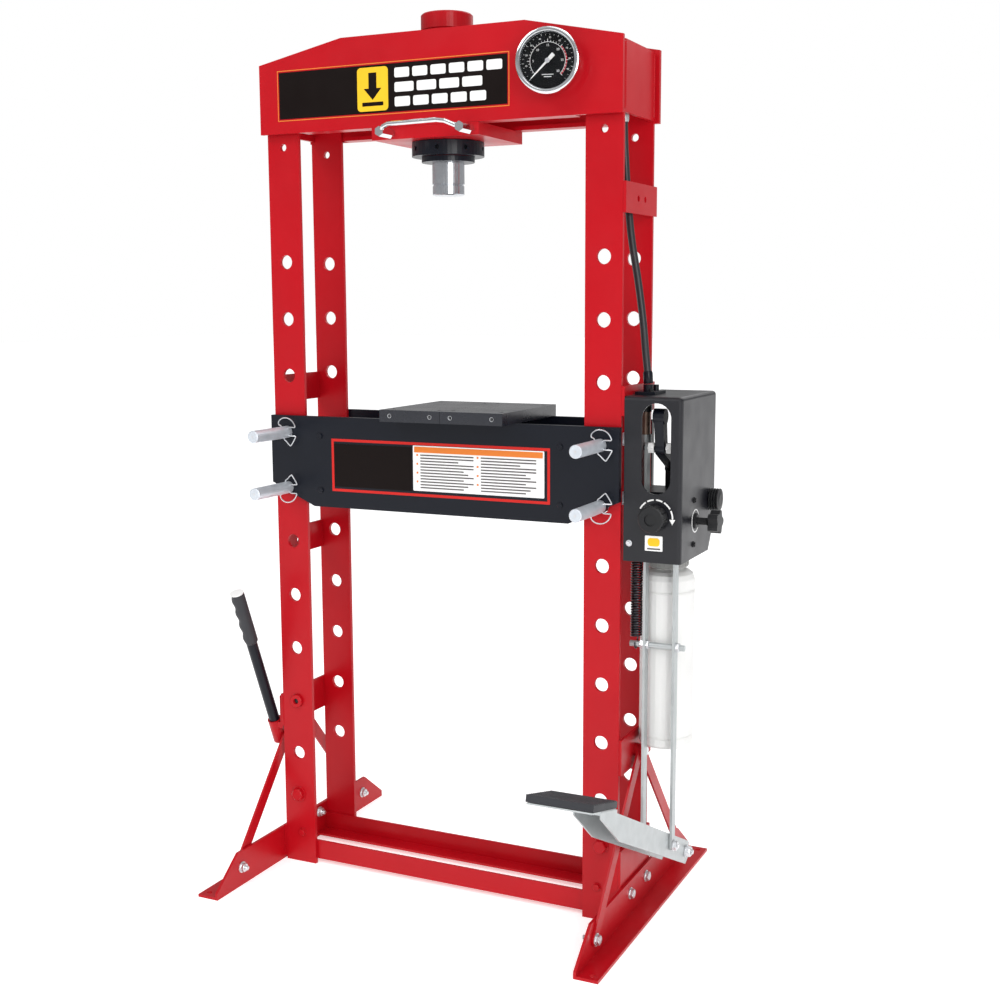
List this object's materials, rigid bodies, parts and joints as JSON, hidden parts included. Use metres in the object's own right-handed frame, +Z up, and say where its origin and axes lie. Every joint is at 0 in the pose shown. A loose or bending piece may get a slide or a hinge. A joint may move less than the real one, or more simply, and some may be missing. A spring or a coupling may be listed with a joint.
{
  "type": "hydraulic shop press",
  "caption": "Free-standing red steel shop press with a sliding hydraulic cylinder, pinned black bed, press plates, gauge, and a foot pump with pedal on its side.",
  "frame": {"origin": "on the floor, under the centre of the bounding box", "axes": "+Z up; -Y is the side the operator stands on; +X is the pump side"},
  "size_m": [1.009, 0.809, 1.793],
  "materials": {
    "red_paint": "semi-gloss powder coat",
    "black_paint": "satin powder coat",
    "black_plastic": "fine textured",
    "rubber": "matt",
    "zinc": "zinc plated",
    "chrome": "polished",
    "bottle": "translucent white",
    "bronze": "satin",
    "white_paint": "satin"
  },
  "bodies": {
    "frame": {"air_inlet": "black_plastic", "air_motor": "bronze", "base_plate_left": "red_paint", "base_plate_right": "red_paint", "bed_front_beam": "black_paint", "bed_rear_beam": "black_paint", "bed_spacer_left": "black_paint", "bed_spacer_right": "black_paint", "brace_front_left": "red_paint", "brace_front_right": "red_paint", "brace_plate_left": "red_paint", "brace_plate_right": "red_paint", "brace_rear_left": "red_paint", "brace_rear_right": "red_paint", "cross_member_front": "red_paint", "cross_member_rear": "red_paint", "foot_left": "red_paint", "foot_right": "red_paint", "gauge_case": "chrome", "head_end_left": "red_paint", "head_end_right": "red_paint", "head_front_plate": "red_paint", "head_rear_plate": "red_paint", "hose_elbow": "zinc", "hose_flange": "black_paint", "hydraulic_hose": "rubber", "lever_holder": "red_paint", "oil_reservoir": "bottle", "pedal_bracket": "zinc", "pump_block": "black_paint", "pump_housing": "black_paint", "tie_plate_left_lower": "red_paint", "tie_plate_left_upper": "red_paint", "tie_plate_right_top": "red_paint", "tie_plate_right_upper": "red_paint", "upright_front_left": "red_paint", "upright_front_right": "red_paint", "upright_rear_left": "red_paint", "upright_rear_right": "red_paint"},
    "carriage": {"cylinder_carriage": "red_paint", "cylinder_body": "red_paint", "ring_nut": "black_paint", "carriage_handle": "chrome"},
    "ram_body": {"ram": "chrome"},
    "needle": {"gauge_needle": "white_paint"},
    "pin_upper_left": {"bed_pin_upper_left": "zinc"},
    "pin_upper_right": {"bed_pin_upper_right": "zinc"},
    "pin_lower_left": {"bed_pin_lower_left": "zinc"},
    "pin_lower_right": {"bed_pin_lower_right": "zinc"},
    "plate_left": {"press_plate_left": "black_paint"},
    "plate_right": {"press_plate_right": "black_paint"},
    "pedal": {"foot_pedal": "zinc", "pedal_pad": "rubber"},
    "link": {"pump_link": "zinc", "return_spring": "black_paint"},
    "rocker": {"pump_rocker": "black_paint"},
    "release": {"release_knob": "black_plastic"},
    "valve": {"valve_knob": "black_plastic"},
    "lever": {"hand_lever": "black_paint", "lever_grip": "rubber"}
  },
  "joints": [
    {"name": "carriage_slide", "type": "slide", "parent": "frame", "child": "carriage", "axis": [1, 0, 0], "range_m": [-0.12, 0.12]},
    {"name": "ram_stroke", "type": "slide", "parent": "carriage", "child": "ram_body", "axis": [0, 0, -1], "range_m": [0, 0.15]},
    {"name": "needle_turn", "type": "hinge", "parent": "frame", "child": "needle", "pos_m": [0.2015, -0.0575, 1.664], "axis": [-0.2079, 0.9781, 0], "range_deg": [0, 270], "stiffness_Nm_per_rad": 0.005, "springref_deg": -17.19},
    {"name": "pin_upper_left_pull", "type": "slide", "parent": "frame", "child": "pin_upper_left", "axis": [0, -1, 0], "range_m": [0, 0.23]},
    {"name": "pin_upper_right_pull", "type": "slide", "parent": "frame", "child": "pin_upper_right", "axis": [0, -1, 0], "range_m": [0, 0.23]},
    {"name": "pin_lower_left_pull", "type": "slide", "parent": "frame", "child": "pin_lower_left", "axis": [0, -1, 0], "range_m": [0, 0.23]},
    {"name": "pin_lower_right_pull", "type": "slide", "parent": "frame", "child": "pin_lower_right", "axis": [0, -1, 0], "range_m": [0, 0.23]},
    {"name": "plate_left_lift", "type": "slide", "parent": "frame", "child": "plate_left", "axis": [0, 0, 1], "range_m": [0, 0.1]},
    {"name": "plate_right_lift", "type": "slide", "parent": "frame", "child": "plate_right", "axis": [0, 0, 1], "range_m": [0, 0.1]},
    {"name": "pedal_hinge", "type": "hinge", "parent": "frame", "child": "pedal", "pos_m": [0.403, 0.1145, 0.116], "axis": [1, 0, 0], "range_deg": [0, 20], "stiffness_Nm_per_rad": 12, "springref_deg": -85.94, "deforming": ["return_spring"]},
    {"name": "link_hinge", "type": "hinge", "parent": "pedal", "child": "link", "pos_m": [0.403, 0.0145, 0.166], "axis": [1, 0, 0], "range_deg": [-20, 0]},
    {"name": "rocker_hinge", "type": "hinge", "parent": "frame", "child": "rocker", "pos_m": [0.401, 0.1145, 0.902], "axis": [1, 0, 0], "range_deg": [0, 20]},
    {"name": "release_turn", "type": "hinge", "parent": "frame", "child": "release", "pos_m": [0.4045, -0.0255, 0.824], "axis": [0, -1, 0], "range_deg": [0, 360]},
    {"name": "valve_turn", "type": "hinge", "parent": "frame", "child": "valve", "pos_m": [0.4483, 0.0625, 0.8085], "axis": [1, 0, 0], "range_deg": [0, 360]},
    {"name": "lever_pull", "type": "slide", "parent": "frame", "child": "lever", "axis": [0, -0.3721, 0.9282], "range_m": [0, 0.3]}
  ],
  "couplings": [
    {"joint": "link_hinge", "follows": "pedal_hinge", "ratio": -1},
    {"joint": "rocker_hinge", "follows": "pedal_hinge", "ratio": 1}
  ]
}
